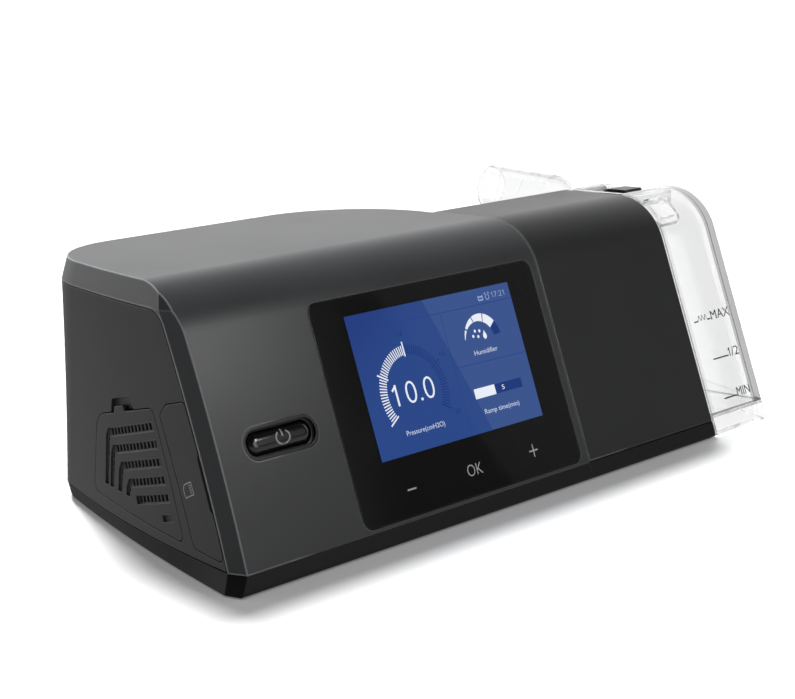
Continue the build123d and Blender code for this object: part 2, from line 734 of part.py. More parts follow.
def tank_parts():
    """Clear tank, its floor with the metal plate and seal, and the skirt under its end."""
    inset = wall + bay_clearance
    head = fillet(right_edges(hull((head_x, tank_x))), rim_round)
    solid = head + hull((tank_left, head_x + tank_wall), inset)
    room = hull((tank_left + tank_wall, tank_x - end_rim), inset + tank_wall)
    room += hull((head_x + tank_wall, tank_x - end_rim), tank_wall)

    # sunk seat for the lid, with its hinge cheeks, in the head
    seat = block((pocket_x[0] - tank_wall, pocket_x[1] + tank_wall),
                 (fill_y - lid_lap - lid_gap - tank_wall, cover_top_depth), (deck_top - tank_wall, top_height))
    cheek = [(80, lid_pin_z - 9), (80, top_height), (cheek_depth, lid_top + lid_thickness),
             (cheek_depth, lid_pin_z - 4)]
    lug = across(cheek, [0, 0, 3, 2], (hinge_x[1], hinge_x[1] + cheek_width))
    lid_room = block(pocket_x, (fill_y - lid_lap - lid_gap, fill_y + fill_length + lid_lap + 3 * lid_gap),
                     (deck_top, far))
    lid_room += block(hinge_x, (fill_y + fill_length, far), (deck_top, far))
    lid_room += block((hinge_x[1] + cheek_width, far), (fill_y, far), (lid_top, far))
    mouth = block((fill_x, fill_x + fill_width), (fill_y, fill_y + fill_length), (deck_top - 9, deck_top + 1))
    pin = rod(lid_pin_radius, (hinge_x[0] - 2.5, lid_pin_y, lid_pin_z), (1, 0, 0),
              hinge_x[1] - hinge_x[0] + 5)

    # finger recess over the front fold
    turn = radians(grip_angle)
    fold_y = front_yz(top_height / cos_lean)[0] + fold_radius * (1 - sin_lean) / cos_lean
    grip = Plane(origin=(grip_x, fold_y - fold_radius * cos(turn),
                         top_height - fold_radius * (1 - sin(turn))),
                 x_dir=(1, 0, 0), z_dir=(0, -cos(turn), sin(turn)))
    dish = extrude(grip.offset(-grip_depth) * RectangleRounded(grip_width, grip_length, 3), 20)
    dish_wall = extrude(grip.offset(-grip_depth - tank_wall) * RectangleRounded(
        grip_width + 2 * tank_wall, grip_length + 2 * tank_wall, 4), 20) & head

    spigot = post(spigot_radius, elbow_x, elbow_y, (shelf_height, shelf_height + spigot_height))
    air = post(spigot_radius - spigot_wall, elbow_x, elbow_y, (shelf_height - 9, far))
    air += rod(port_radius - port_wall, (0, port_y, port_z), (1, 0, 0), tank_left + tank_wall + 1)
    body = (solid - room) + (seat & head) + lug + dish_wall + spigot
    body = body - lid_room - mouth - dish - pin - air

    floor_top = floor_z + floor_thickness
    lip = floor_z + floor_thickness / 3
    floor = solid & slab((floor_z, floor_top))
    floor -= plate_layer(-plate_lip, (0, far)) + plate_layer(0, (lip, far))
    plate = plate_layer(-plate_lip, (floor_z, lip)) + plate_layer(-seal_width, (lip, floor_top))
    seal = plate_layer(0, (lip, floor_top)) - plate_layer(-seal_width, (0, far))
    skirt = head & slab((lift, floor_z))
    skirt -= block((head_x + tank_wall, tank_x - tank_wall), (6.5, shelf_depth - tank_wall), (0, far))
    return body & slab((floor_top, far)), floor, plate, seal, skirt, pin


def rim_block(grow, z):
    """A box over the filling opening, larger than it by grow on each side."""
    return block((fill_x - grow, fill_x + fill_width + grow), (fill_y - grow, fill_y + fill_length + grow), z)


def lid_parts():
    """Hinged filling lid with its plug and seal, and the sprung latch that slides on it."""
    low = lid_top - lid_thickness
    lid = fillet(rim_block(lid_lap, (low, lid_top)).edges().filter_by(Axis.Z), 1.5)
    knuckle_x = (hinge_x[0] + lid_gap, hinge_x[1] - lid_gap)
    lid += block(knuckle_x, (fill_y + fill_length, lid_pin_y), (low + 0.6, lid_top))
    lid += rod(barrel_radius, (knuckle_x[0], lid_pin_y, lid_pin_z), (1, 0, 0), knuckle_x[1] - knuckle_x[0])
    lid += rim_block(-plug_clearance, (low - lid_plug, low + 0.5)) - rim_block(
        -plug_clearance - plug_wall, (0, low))
    groove = rim_block(-plug_clearance, (low - 1.6, low - 0.6)) - rim_block(-plug_clearance - 0.6, (0, far))
    seal = rim_block(-lid_seal_gap, (low - 1.6, low - 0.6)) - rim_block(-plug_clearance - 0.6, (0, far))
    lid -= groove + rod(lid_pin_radius + pin_clearance, (0, lid_pin_y, lid_pin_z), (1, 0, 0), far)
    guide_x = (latch_x - guide_width / 2, latch_x + guide_width / 2)
    guide_y = (latch_y[0] + 6, latch_y[0] + 6 + guide_length)
    lid += block(guide_x, guide_y, (lid_top - 0.5, lid_top + guide_height))

    foot, crest = lid_top + latch_gap, lid_top + latch_gap + latch_height
    side = [(latch_y[0], foot), (latch_y[0], crest), (latch_y[1] - 4, crest), (latch_y[1], foot + 1.3),
            (latch_y[1], foot)]
    latch = across(side, [0, 0.8, 3, 0.6, 0], (latch_x - latch_width / 2, latch_x + latch_width / 2))
    latch -= block((guide_x[0] - latch_gap, guide_x[1] + latch_gap),
                   (guide_y[0] - latch_gap - latch_travel, guide_y[1] + latch_gap),
                   (0, lid_top + guide_height + latch_gap))
    return lid, seal, latch


def elbow_parts():
    """Swivelling outlet elbow and the seal in its foot."""
    top = (elbow_x, elbow_y, elbow_axis_z)
    along = (0, cos(radians(elbow_tilt)), sin(radians(elbow_tilt)))

    def pipe(radius, step, foot, reach):
        return (post(radius, elbow_x, elbow_y, (foot, elbow_axis_z)) + Pos(*top) * Sphere(radius + step)
                + rod(radius + step, top, along, reach))

    elbow = pipe(elbow_radius, cuff_step, shelf_height + elbow_lift, elbow_reach - cuff_length)
    elbow += rod(elbow_radius, top, along, elbow_reach)
    elbow -= pipe(elbow_bore, 0, 0, far)
    seal = post(elbow_bore + elbow_seal_depth, elbow_x, elbow_y, elbow_seal_z)
    return elbow - seal, seal - post(elbow_bore, elbow_x, elbow_y, (0, far))


# ---------------------------------------------------------------- assembly
def assemble():
    parts = {}
    outer = main_body() - slab((-far, lift))
    inner = main_body(wall, tray_top)
    shell, lap = outer - inner, lap_zone(0)
    seam_skin = skin(outer, seam_depth)
    foot_seam = seam_skin & slab((0, tray_height + seam_gap))
    upper = shell - slab((-far, tray_height))
    cover = front_openings(upper & lap, inner)
    housing = upper - lap - foot_seam - (seam_skin & (lap_zone(seam_gap) - lap))
    housing -= rod(port_radius, (seam_x - wall - 1, port_y, port_z), (1, 0, 0), wall + 2)
    tray = shell & slab((0, tray_height))

    parts["filter_cover"], parts["inlet_filter"], ledge, opening = filter_parts(outer, shell, inner)
    parts["card_door"], parts["card_socket"], pad, pocket = card_parts(outer, inner)
    housing = housing + (ledge - lap) + (pad - lap) - opening - pocket

    board, parts["board_components"], parts["board_screws"], standoffs, inlet, stand, hole = electronics()
    parts["main_board"], parts["power_inlet"] = board, inlet
    tray += standoffs + [stand]
    housing -= hole
    screws = []
    for x, y in screw_places():
        head_top = lift + screw_recess + screw_head_height
        housing += post(boss_radius, x, y, (tray_height, boss_top)) & inner
        housing -= post(screw_radius, x, y, (tray_height - 1, boss_top - 3))
        tray += post(boss_radius, x, y, (lift, tray_height)) & outer
        tray -= post(screw_radius + 0.2, x, y, (0, far)) + post(screw_head_radius + 0.2, x, y, (0, head_top))
        screws.append(post(screw_head_radius, x, y, (lift + screw_recess, head_top))
                      + post(screw_radius, x, y, (head_top, boss_top - 3)))
    parts["base_screws"] = screws
    parts["front_top_cover"], parts["rear_side_housing"], parts["base_tray"] = cover, housing, tray
    parts["display_glass"], parts["lcd_module"], parts["display_board"] = display_parts()
    parts["button_bezel"], parts["power_button"], parts["button_board"] = button_parts()

    (parts["blower_lower_case"], parts["blower_upper_case"], parts["blower_motor"], parts["motor_shaft"],
     parts["impeller"], parts["blower_mounts"], parts["outlet_duct"], parts["port_seal"]) = blower_parts()
    parts["inlet_muffler"] = block(muffler_x, muffler_y, (tray_top, muffler_top))

    (parts["humidifier_housing"], parts["humidifier_base"], parts["heater_plate"],
     parts["heater_insulator"]) = humidifier_parts()
    (parts["tank_body"], parts["tank_floor"], parts["tank_plate"], parts["tank_seal"],
     parts["tank_skirt"], parts["lid_hinge_pin"]) = tank_parts()
    parts["fill_lid"], parts["lid_seal"], parts["lid_latch"] = lid_parts()
    parts["outlet_elbow"], parts["elbow_seal"] = elbow_parts()
    foot_places = [(8, 22), (168, 22), (66, 138), (158, 124), (200, 22), (262, 22), (200, 106), (262, 106)]
    parts["rubber_feet"] = [post(foot_disc_radius, x, y, (0, lift)) for x, y in foot_places]
    return parts


os.makedirs("parts", exist_ok=True)
pieces = {node: solids_of(shape) for node, shape in assemble().items()}
bounds = [s.bounding_box() for solids in pieces.values() for s in solids]
centre = [(min(getattr(b.min, a) for b in bounds) + max(getattr(b.max, a) for b in bounds)) / 2 for a in "XY"]
for node, solids in pieces.items():
    moved = [Pos(-centre[0], -centre[1], 0) * s for s in solids]
    export_step(moved[0] if len(moved) == 1 else Compound(children=moved), f"parts/{node}.step")
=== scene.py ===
from math import cos, pi, radians, sin
import bmesh
import bpy
import numpy as np
from mathutils import Matrix, Vector


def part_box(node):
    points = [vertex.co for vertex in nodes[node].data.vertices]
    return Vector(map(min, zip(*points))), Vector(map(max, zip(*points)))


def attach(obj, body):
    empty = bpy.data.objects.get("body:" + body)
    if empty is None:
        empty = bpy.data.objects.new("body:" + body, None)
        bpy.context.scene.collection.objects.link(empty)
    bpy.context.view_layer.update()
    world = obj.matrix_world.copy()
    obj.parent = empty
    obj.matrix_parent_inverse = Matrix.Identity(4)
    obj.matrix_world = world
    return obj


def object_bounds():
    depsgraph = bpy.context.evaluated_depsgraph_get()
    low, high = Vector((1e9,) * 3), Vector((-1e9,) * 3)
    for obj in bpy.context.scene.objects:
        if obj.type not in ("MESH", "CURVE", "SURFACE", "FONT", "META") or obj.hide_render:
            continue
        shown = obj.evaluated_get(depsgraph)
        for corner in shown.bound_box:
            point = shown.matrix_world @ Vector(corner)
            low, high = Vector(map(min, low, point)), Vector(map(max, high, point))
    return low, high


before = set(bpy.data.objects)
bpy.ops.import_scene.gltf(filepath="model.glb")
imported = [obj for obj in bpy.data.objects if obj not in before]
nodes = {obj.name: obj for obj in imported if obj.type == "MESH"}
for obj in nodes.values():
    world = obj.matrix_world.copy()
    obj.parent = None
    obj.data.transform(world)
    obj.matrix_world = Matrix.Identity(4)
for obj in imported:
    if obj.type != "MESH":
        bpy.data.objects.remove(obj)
cadLow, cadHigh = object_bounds()
scene = bpy.context.scene
print("frame loaded,", len(nodes), "nodes")


# ---- shader helpers

def tint(code):
    # screen colour such as "2f4f95" as linear red, green, blue, 1: ((s + 0.055) / 1.055) ^ 2.4
    s = np.array([int(code[k:k + 2], 16) for k in (0, 2, 4)]) / 255
    return (*np.where(s > 0.04045, ((s + 0.055) / 1.055) ** 2.4, s / 12.92).tolist(), 1.0)


class Wire:
    # a number on its way through a node tree; + - * lay a Math node
    def __init__(self, tree, socket):
        self.tree, self.socket = tree, socket

    def sum(self, operation, *others):
        return self.tree.node("ShaderNodeMath", dict(operation=operation), (self, *others))

    def __add__(self, other):
        return self.sum("ADD", other)

    def __sub__(self, other):
        return self.sum("SUBTRACT", other)

    def __mul__(self, other):
        return self.sum("MULTIPLY", other)

    def __rsub__(self, other):
        return self.tree.node("ShaderNodeMath", dict(operation="SUBTRACT"), (other, self))

    __radd__, __rmul__ = __add__, __mul__


class Recipe:
    # a node tree being laid out, for one material or the world
    def __init__(self, owner):
        owner.use_nodes = True
        self.owner, self.tree = owner, owner.node_tree
        self.tree.nodes.clear()

    def node(self, kind, settings=None, inputs=(), output=0):
        made = self.tree.nodes.new(kind)
        for key, value in (settings or {}).items():
            setattr(made, key, value)
        for key, value in (inputs.items() if isinstance(inputs, dict) else enumerate(inputs)):
            if isinstance(value, Wire):
                self.tree.links.new(value.socket, made.inputs[key])
            else:
                made.inputs[key].default_value = value
        return Wire(self, made.outputs[output]) if made.outputs else None

    def here(self):
        return self.node("ShaderNodeTexCoord", output="Object")

    def noise(self, where, scale, detail=2.0, roughness=0.5):
        return self.node("ShaderNodeTexNoise", {}, {"Vector": where, "Scale": scale, "Detail": detail,
                                                    "Roughness": roughness}, "Fac")

    def stretched(self, where, x, y, z):
        return self.node("ShaderNodeMapping", {}, {"Vector": where, "Scale": (x, y, z)})

    def blend(self, share, a, b):
        return self.node("ShaderNodeMix", dict(data_type="RGBA"), {0: share, 6: a, 7: b}, 2)

    def between(self, value, low, high, bottom=0.0, top=1.0):
        # value from low to high carried smoothly onto bottom to top, and held there outside
        return self.node("ShaderNodeMapRange", dict(interpolation_type="SMOOTHSTEP"),
                         (value, low, high, bottom, top))

    def along(self, where, direction):
        return self.node("ShaderNodeVectorMath", dict(operation="DOT_PRODUCT"), (where, direction), "Value")

    def bump(self, height, strength, distance, normal=None):
        given = {"Height": height, "Strength": strength, "Distance": distance}
        if normal:
            given["Normal"] = normal
        return self.node("ShaderNodeBump", {}, given)

    def softEdge(self, radius):
        # the normal as if every edge had this radius
        return self.node("ShaderNodeBevel", dict(samples=6), {"Radius": radius})

    def edgeMask(self, soft, gain):
        # 0 on open faces, 1 at edges: how far the soft normal leans from the true one
        true = self.node("ShaderNodeNewGeometry", output="Normal")
        lean = 1 - self.node("ShaderNodeVectorMath", dict(operation="DOT_PRODUCT"), (soft, true), "Value")
        return self.node("ShaderNodeClamp", {}, (lean * gain, 0.0, 1.0))

    def finish(self, shader):
        self.node("ShaderNodeOutputMaterial", {}, {"Surface": shader})
        return self.owner


def recipe(name):
    return Recipe(bpy.data.materials.new(name))


def toned(colour, factor, lift=0.0):
    # the colour times a factor, lifted a little, at most white
    return (*[min(1, c * factor + lift) for c in colour[:3]], 1)


# ---- finishes

def mouldedPlastic(name, look):
    # colour drifts slowly over the part, a fine etched grain tilts the surface, and edges
    # are paler and smoother: partly wear, partly a painted highlight along the edges, strong where the paling
    # gain is large
    r = recipe(name)
    here = r.here()
    drift = r.noise(here, 24, 3)
    grain = r.noise(here, look.get("grainScale", 2600), 2, 0.6)
    soft = r.softEdge(look.get("edge", 0.0005))
    wearAndHighlight = r.edgeMask(soft, 20.0)
    if "highlightLeftOf" in look:
        # painted highlight: the pale edges are kept mostly to this part's left end, where its edges catch the
        # light, and fall to a fifth beyond it
        x = r.along(here, (1, 0, 0))
        wearAndHighlight = wearAndHighlight * r.between(x, look["highlightLeftOf"], look["highlightLeftOf"] + 0.01, 1.0, 0.2)
    dark, pale = toned(look["colour"], 0.94), toned(look["colour"], 1.06)
    colour = r.blend(r.between(drift, 0.3, 0.7), dark, pale)
    speck = r.between(grain, 0.35, 0.65, 0.97, 1.03)
    colour = r.node("ShaderNodeMix", dict(data_type="RGBA", blend_type="MULTIPLY"),
                    {0: 1.0, 6: colour, 7: r.node("ShaderNodeCombineColor", {}, (speck, speck, speck))}, 2)
    # the edge colour: wear, and where the gain is large a painted highlight on the edges
    scuffedAndHighlit = toned(look["colour"], look.get("wearAndHighlightGain", 1.6), 0.004)
    return r.finish(r.node("ShaderNodeBsdfPrincipled", {}, {
        "Base Color": r.blend(wearAndHighlight * 0.8, colour, scuffedAndHighlit),
        "Roughness": look["rough"] + (drift - 0.5) * 0.08 + (grain - 0.5) * 0.06 - wearAndHighlight * 0.08,
        "Normal": r.bump(grain, look["grain"], 0.00004, soft),
        "Specular IOR Level": look.get("shine", 0.5)}))


def polished(name, look):
    # deep gloss with a faint film of smears that only the roughness shows
    r = recipe(name)
    here = r.here()
    smear = r.noise(r.stretched(here, 1, 1.6, 0.7), 55, 4, 0.6)
    haze = r.noise(here, 900, 2)
    colour = r.blend(smear, look["colour"], toned(look["colour"], 1.25))
    rough = look["rough"] + r.between(smear, 0.45, 0.75) * 0.05 + (haze - 0.5) * 0.01
    return r.finish(r.node("ShaderNodeBsdfPrincipled", {}, {
        "Base Color": colour, "Roughness": rough, "Normal": r.bump(smear, 0.02, 0.0001, r.softEdge(0.0003)),
        "Coat Weight": look.get("coat", 0.0), "Coat Roughness": 0.03}))


def clearPlastic(name, look):
    # injection-moulded clear plastic: faint flow lines bend the light and mist the surface
    r = recipe(name)
    here = r.here()
    flow = r.noise(r.stretched(here, 1, 1, 3), 30, 2)
    mist = r.noise(here, 160, 3)
    colour = r.blend(flow, look["colour"], toned(look["colour"], 1.02))
    share = look["body"]
    if "rim" in look:
        # painted shade: the faces that run to the right end are painted greyer beside it, standing in for the
        # end wall seen through them, and greyer in a band at the lip where they leave the housing
        normal = r.node("ShaderNodeNewGeometry", output="Normal")
        x, sideways = r.along(here, (1, 0, 0)), r.along(normal, (1, 0, 0)).sum("ABSOLUTE")
        fade, end, mouth = 0.0005, cadHigh.x - look["rim"], look["mouth"]
        lip = r.between(x, mouth + look["lip"], mouth + look["lip"] + fade, look["paintedLipShare"], 0)
        lip = lip * r.between(x, mouth - fade, mouth)
        rim = (r.between(x, end, end + fade) + lip) * r.between(sideways, 0.3, 0.6, 1, 0)
        colour = r.blend(rim, colour, toned(look["colour"], look["rimShade"]))
        share = share + rim * (1 - share)
    body = r.node("ShaderNodeBsdfPrincipled", {}, {
        "Base Color": colour, "Roughness": look["rough"] + mist * 0.03, "IOR": look["bend"],
        "Transmission Weight": 1.0, "Normal": r.bump(flow, 0.03, 0.0004, r.softEdge(0.0004))})
    through = r.node("ShaderNodeBsdfTransparent", {}, {"Color": (0.99, 0.992, 0.995, 1)})
    shadow = r.node("ShaderNodeLightPath", output="Is Shadow Ray")
    return r.finish(r.node("ShaderNodeMixShader", {}, ((1 - shadow * 0.8) * share, through, body)))


def rubberLike(name, look):
    # soft matt rubber with a dusty bloom in patches
    r = recipe(name)
    here = r.here()
    bloom, grit = r.noise(here, 60, 3), r.noise(here, 1800, 2)
    dusty = toned(look["colour"], 1.35, 0.01)
    return r.finish(r.node("ShaderNodeBsdfPrincipled", {}, {
        "Base Color": r.blend(r.between(bloom, 0.4, 0.8), look["colour"], dusty),
        "Roughness": look["rough"] + (grit - 0.5) * 0.1,
        "Normal": r.bump(grit, 0.2, 0.00005, r.softEdge(0.0003))}))


def brushedMetal(name, look):
    # fine scratches across the way it was brushed, with a broader change of shade over them
    r = recipe(name)
    here = r.here()
    scratch = r.noise(r.stretched(here, *look["lay"]), 12, 3, 0.65)
    broad = r.noise(here, 40, 2)
    return r.finish(r.node("ShaderNodeBsdfPrincipled", {}, {
        "Base Color": r.blend(scratch, toned(look["colour"], 0.82), look["colour"]), "Metallic": 1.0,
        "Roughness": look["rough"] + (scratch - 0.5) * 0.2 + (broad - 0.5) * 0.08,
        "Normal": r.bump(scratch, 0.12, 0.00003, r.softEdge(0.0003))}))


def openFoam(name, look):
    # cells: pits at Voronoi centres, painted darker as shade, with paler strands between them
    r = recipe(name)
    cell = r.node("ShaderNodeTexVoronoi", {}, {"Vector": r.here(), "Scale": look["cells"]}, "Distance")
    strand = r.between(cell, 0.25, 0.6)
    return r.finish(r.node("ShaderNodeBsdfPrincipled", {}, {
        "Base Color": r.blend(strand, toned(look["colour"], 0.35), look["colour"]),
        "Roughness": 0.95 - strand * 0.1, "Normal": r.bump(strand, 0.7, 0.0004)}))


def circuitBoard(name, look):
    # lacquered board: tracks between square cells, with gold rings on a coarser grid
    r = recipe(name)
    here = r.here()
    edge = r.node("ShaderNodeTexVoronoi", dict(feature="DISTANCE_TO_EDGE"),
                  {"Vector": here, "Scale": 260.0, "Randomness": 0.55}, "Distance")
    dots = r.node("ShaderNodeTexVoronoi", {}, {"Vector": here, "Scale": 190.0, "Randomness": 0.3}, "Distance")
    track = 1 - r.between(edge, 0.03, 0.07)
    ring = r.between(dots, 0.10, 0.13) * (1 - r.between(dots, 0.2, 0.23))
    colour = r.blend(track * 0.6, look["colour"], toned(look["colour"], 2.2))
    colour = r.blend(ring * 0.8, colour, look["ring"])
    return r.finish(r.node("ShaderNodeBsdfPrincipled", {}, {
        "Base Color": colour, "Roughness": 0.35 + track * 0.1, "Metallic": ring * 0.8,
        "Normal": r.bump(track, 0.3, 0.00004)}))


finishes = dict(
    # the fascia and the humidifier have large paling gains: their pale edge lines are painted highlights
    fascia=mouldedPlastic("fascia_satin", dict(colour=tint("3e3f41"), rough=0.42, grain=0.1, wearAndHighlightGain=11,
                                               edge=0.001, highlightLeftOf=cadLow.x + 0.03)),
    housing=mouldedPlastic("housing_satin", dict(colour=tint("353535"), rough=0.45, grain=0.14, wearAndHighlightGain=2.4)),
    humidifier=mouldedPlastic("humidifier_satin", dict(colour=tint("202121"), rough=0.42, grain=0.1, wearAndHighlightGain=26,
                                                       edge=0.001, highlightLeftOf=cadHigh.x - 0.11)),
    tray=mouldedPlastic("tray_matt", dict(colour=tint("101010"), rough=0.55, grain=0.2, shine=0.25,
                                          wearAndHighlightGain=2.0)),
    glass=polished("display_glass", dict(colour=tint("1e1f1e"), rough=0.04)),
    button=polished("button_gloss", dict(colour=tint("1c1c1d"), rough=0.12, coat=0.6)),
    bezel=mouldedPlastic("bezel_black", dict(colour=tint("121213"), rough=0.3, grain=0.05, wearAndHighlightGain=2.0)),
    latch=mouldedPlastic("latch_black", dict(colour=tint("1b1b1b"), rough=0.4, grain=0.15)),
    chips=mouldedPlastic("chip_black", dict(colour=tint("222224"), rough=0.5, grain=0.3, grainScale=3500)),
    cases=mouldedPlastic("case_ivory", dict(colour=tint("c9c8c0"), rough=0.5, grain=0.15, wearAndHighlightGain=1.1)),
    # the tank's faces carry painted grey bands beside the right end and at the lip
    tank=clearPlastic("tank_clear", dict(colour=(0.985, 0.988, 0.99, 1), rough=0.02, bend=1.24, body=0.8,
                                         rim=0.0066, rimShade=0.29, lip=0.0022, paintedLipShare=0.4,
                                         mouth=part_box("humidifier_housing")[1].x + 0.0002)),
    clear=clearPlastic("clear_parts", dict(colour=(0.985, 0.988, 0.99, 1), rough=0.03, bend=1.24, body=0.8)),
    lid=clearPlastic("lid_clear", dict(colour=(0.95, 0.955, 0.96, 1), rough=0.06, bend=1.24, body=0.8)),
    silicone=rubberLike("silicone_white", dict(colour=tint("d8d9d8"), rough=0.5)),
    rubber=rubberLike("rubber_black", dict(colour=tint("202020"), rough=0.75)),
    steel=brushedMetal("steel_bright", dict(colour=tint("c4c4c4"), rough=0.28, lay=(300, 300, 8))),
    motor=brushedMetal("motor_can", dict(colour=tint("9c9ca0"), rough=0.35, lay=(8, 8, 500))),
    heater=brushedMetal("heater_plate", dict(colour=tint("d6d6d8"), rough=0.3, lay=(8, 600, 600))),
    foam=openFoam("muffler_foam", dict(colour=tint("707074"), cells=700.0)),
    fleece=openFoam("filter_fleece", dict(colour=tint("e2e4e6"), cells=1500.0)),
    board=circuitBoard("board_green", dict(colour=(0.012, 0.075, 0.03, 1), ring=(0.55, 0.38, 0.12, 1))),
)

worn = dict(
    fascia="front_top_cover", housing="rear_side_housing filter_cover card_door",
    humidifier="humidifier_housing", tray="base_tray humidifier_base", glass="display_glass",
    button="power_button", bezel="button_bezel lcd_module", latch="lid_latch",
    chips="board_components power_inlet",
    cases="card_socket blower_lower_case blower_upper_case impeller heater_insulator",
    tank="tank_body", clear="tank_floor tank_skirt outlet_elbow", lid="fill_lid",
    silicone="blower_mounts port_seal tank_seal lid_seal elbow_seal", rubber="outlet_duct rubber_feet",
    steel="board_screws motor_shaft lid_hinge_pin base_screws", motor="blower_motor",
    heater="heater_plate tank_plate", foam="inlet_muffler", fleece="inlet_filter",
    board="display_board button_board main_board")
for finish, names in worn.items():
    for name in names.split():
        owner = nodes[name]
        if not owner.material_slots:
            owner.data.materials.append(None)
        for place in owner.material_slots:
            place.material = finishes[finish]
print("finishes on", sum(len(names.split()) for names in worn.values()), "nodes")


# ---- pieces made here: marks and the screen picture

# the front leans back; its glass, glassThick mm deep, starts at glassAt from its lower left corner
face = dict(lean=radians(19), glassThick=1.8, glassAt=(54.6, 9.0))
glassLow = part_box("display_glass")[0]
faceRight = np.array([1, 0, 0.0])
faceUp = np.array([0, sin(face["lean"]), cos(face["lean"])])
faceOut = np.array([0, -cos(face["lean"]), sin(face["lean"])])
faceCorner = np.array([glassLow.x, glassLow.y, glassLow.z + face["glassThick"] / 1000 * sin(face["lean"])])
# the glass's rounded edge hides its true corner, so a ray onto it from 20 mm in along both
# edges finds how far out the flat lies
onGlass = faceCorner + faceRight * 0.02 + faceUp * 0.02 + faceOut * 0.05
_, struck, _, _ = nodes["display_glass"].ray_cast(Vector(onGlass), Vector(-faceOut))
faceCorner[1] -= (np.array(struck) - faceCorner) @ faceOut / cos(face["lean"])


def onFace(points):
    # x along the front, y up its slope and h out of it, in mm from the glass's lower left corner
    return faceCorner + (points[:, :1] * faceRight + points[:, 1:2] * faceUp + points[:, 2:] * faceOut) / 1000


def strokes(starts, ends, width, low, high):
    # a box round each straight line from start to end, width across, from low to high off the face
    starts, ends = np.atleast_2d(starts).astype(float), np.atleast_2d(ends).astype(float)
    run = ends - starts
    run /= np.linalg.norm(run, axis=1, keepdims=True)
    side = np.c_[-run[:, 1], run[:, 0]] * np.reshape(width, (-1, 1)) / 2
    ring = np.stack([starts - side, ends - side, ends + side, starts + side], axis=1)
    layers = [np.dstack([ring, np.full(ring.shape[:2], h)]) for h in (low, high)]
    points = np.concatenate(layers, axis=1)
    quads = np.array([[3, 2, 1, 0], [4, 5, 6, 7], [0, 1, 5, 4], [1, 2, 6, 5], [2, 3, 7, 6], [3, 0, 4, 7]])
    faces = (np.arange(len(starts))[:, None, None] * 8 + quads).reshape(-1, 4)
    return points.reshape(-1, 3), faces.tolist()


def bars(rows, low, high):
    # strokes from rows of start x, start y, end x, end y, width
    rows = np.array(rows, float)
    return strokes(rows[:, :2], rows[:, 2:4], rows[:, 4], low, high)


def ribbon(first, second, low, high):
    # a flat bar carried between two edge lines: every station holds the corners (first, low),
    # (second, low), (second, high), (first, high), joined to the next and capped at both ends
    first, second = np.asarray(first, float), np.asarray(second, float)
    count = len(first)
    flat = lambda line, h: np.c_[line, np.full(count, h)]
    points = np.stack([flat(first, low), flat(second, low), flat(second, high), flat(first, high)], axis=1)
    start, corner = np.arange(count - 1)[:, None] * 4, np.arange(4)
    onward = (corner + 1) % 4
    quads = np.stack([start + corner, start + onward, start + 4 + onward, start + 4 + corner], axis=2)
    last = 4 * count - 4
    caps = [[3, 2, 1, 0], [last, last + 1, last + 2, last + 3]]
    return points.reshape(-1, 3), quads.reshape(-1, 4).tolist() + caps


def circle(centre, radius, start, stop, count):
    # centre + radius * (cos a, sin a), a in degrees from start to stop; radius may change along it
    a = np.radians(np.linspace(start, stop, count))
    radius = np.reshape(radius, (-1, 1))
    return np.asarray(centre) + radius * np.c_[np.cos(a), np.sin(a)]


def glyphs(text, thin):
    # letters of the built-in font, 1 high and 1 deep, merged into closed shapes
    curve = bpy.data.curves.new("letters", "FONT")
    curve.body, curve.size, curve.extrude, curve.offset, curve.resolution_u = text, 1, 0.5, thin, 4
    owner = bpy.data.objects.new("letters", curve)
    scene.collection.objects.link(owner)
    mesh = bpy.data.meshes.new_from_object(owner.evaluated_get(bpy.context.evaluated_depsgraph_get()))
    bpy.data.objects.remove(owner)
    shape = bmesh.new()
    shape.from_mesh(mesh)
    bmesh.ops.remove_doubles(shape, verts=shape.verts, dist=1e-5)
    shape.verts.index_update()
    points = np.array([v.co[:] for v in shape.verts])
    faces = [[v.index for v in f.verts] for f in shape.faces]
    shape.free()
    return points, faces


capital = np.ptp(glyphs("H", 0.0)[0][:, 1])


def lettering(text, left, right, foot, height, low, high, thin=0.0):
    # the glyphs stretched from left to right, with capitals of the given height on the foot line
    points, faces = glyphs(text, thin)
    x = left + (points[:, 0] - points[:, 0].min()) / np.ptp(points[:, 0]) * (right - left)
    y = foot + points[:, 1] / capital * height
    return np.c_[x, y, low + (points[:, 2] + 0.5) * (high - low)], faces


def figureOne(left, foot, height, line, low, high):
    # a figure one with its flag, drawn as two strokes
    x, top = left + height * 0.24, foot + height
    return strokes([[x, foot], [left, top - height * 0.27]], [[x, top], [x + line * 0.3, top - line * 0.4]],
                   [line, line * 0.9], low, high)


def piece(name, shapes, place, material, body):
    # one mesh object from (points, faces) shapes, put in place and turned right side out
    points, faces, base = [], [], 0
    for more, quads in shapes:
        points.append(more)
        faces += [[base + k for k in quad] for quad in quads]
        base += len(more)
    mesh = bpy.data.meshes.new(name)
    mesh.from_pydata(place(np.concatenate(points)).tolist(), [], faces)
    shape = bmesh.new()
    shape.from_mesh(mesh)
    bmesh.ops.recalc_face_normals(shape, faces=shape.faces)
    shape.to_mesh(mesh)
    shape.free()
    mesh.materials.append(material)
    made = bpy.data.objects.new(name, mesh)
    scene.collection.objects.link(made)
    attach(made, body)
    return made


